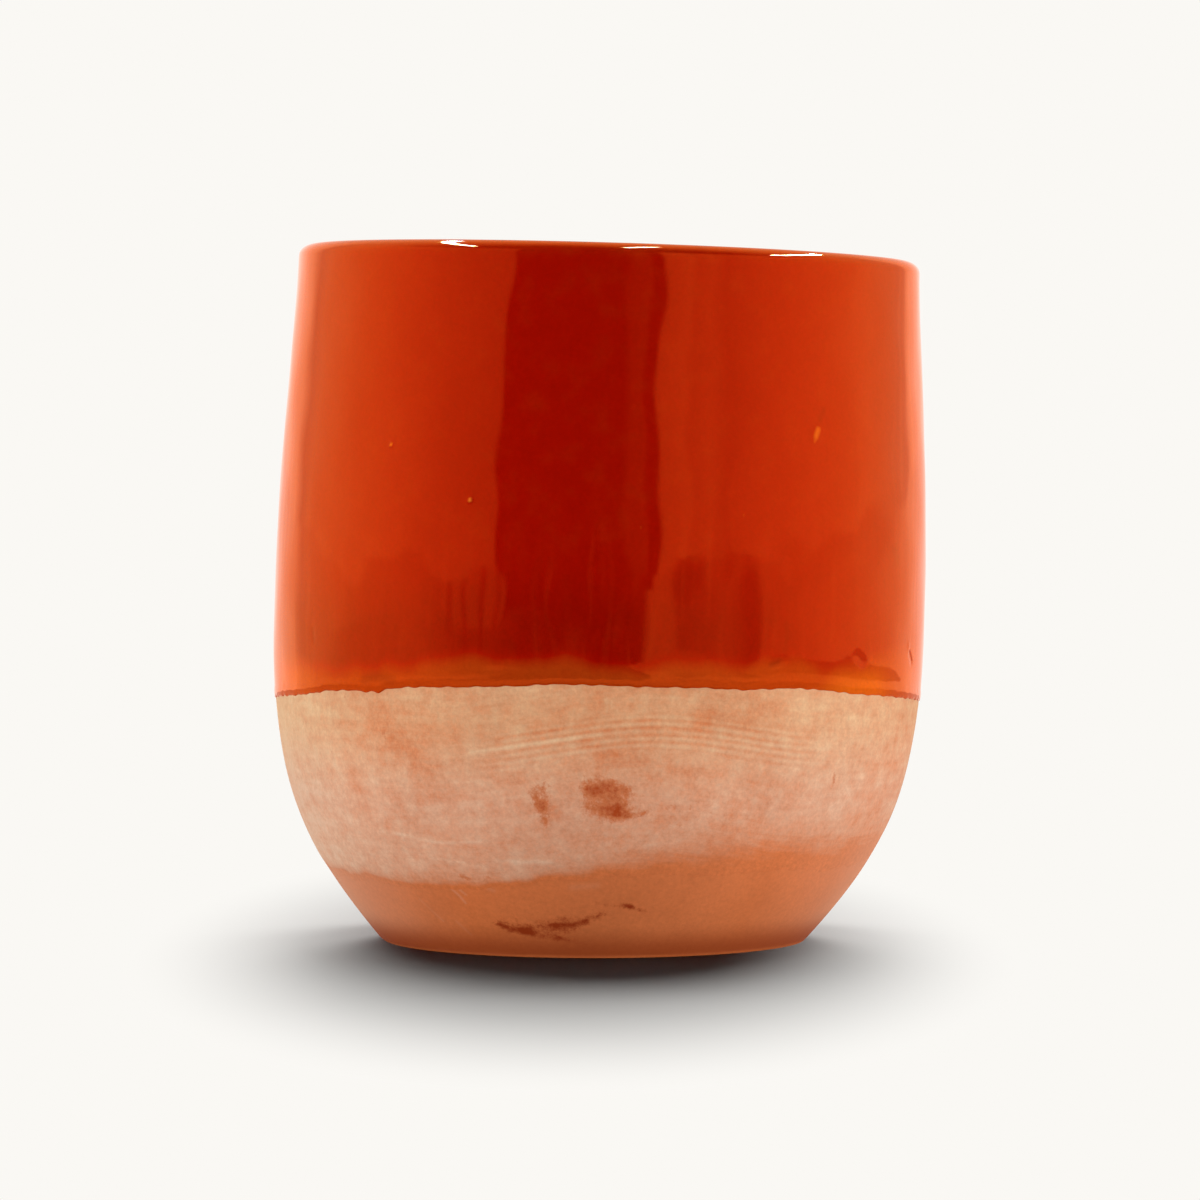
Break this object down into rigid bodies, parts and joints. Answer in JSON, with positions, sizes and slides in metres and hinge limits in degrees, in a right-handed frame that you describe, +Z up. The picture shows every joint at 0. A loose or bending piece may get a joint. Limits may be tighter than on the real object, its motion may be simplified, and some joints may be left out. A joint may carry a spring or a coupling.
{
  "type": "clay tumbler cup",
  "caption": "Handleless wheel-thrown earthenware tumbler for tea, half dipped in glossy red-orange glaze over a bare slip-washed foot.",
  "frame": {"origin": "middle of the foot, on the table plane", "axes": "+Z up, -Y the pictured front, +X the side towards which the thrown axis leans"},
  "size_m": [0.0858, 0.0856, 0.0914],
  "materials": {
    "clay": "matte",
    "slip": "matte",
    "glaze": "gloss",
    "liner": "gloss"
  },
  "bodies": {
    "root": {"clay_body": "clay", "slip_wash": "slip", "outer_glaze": "glaze", "liner_glaze": "liner"}
  },
  "joints": []
}
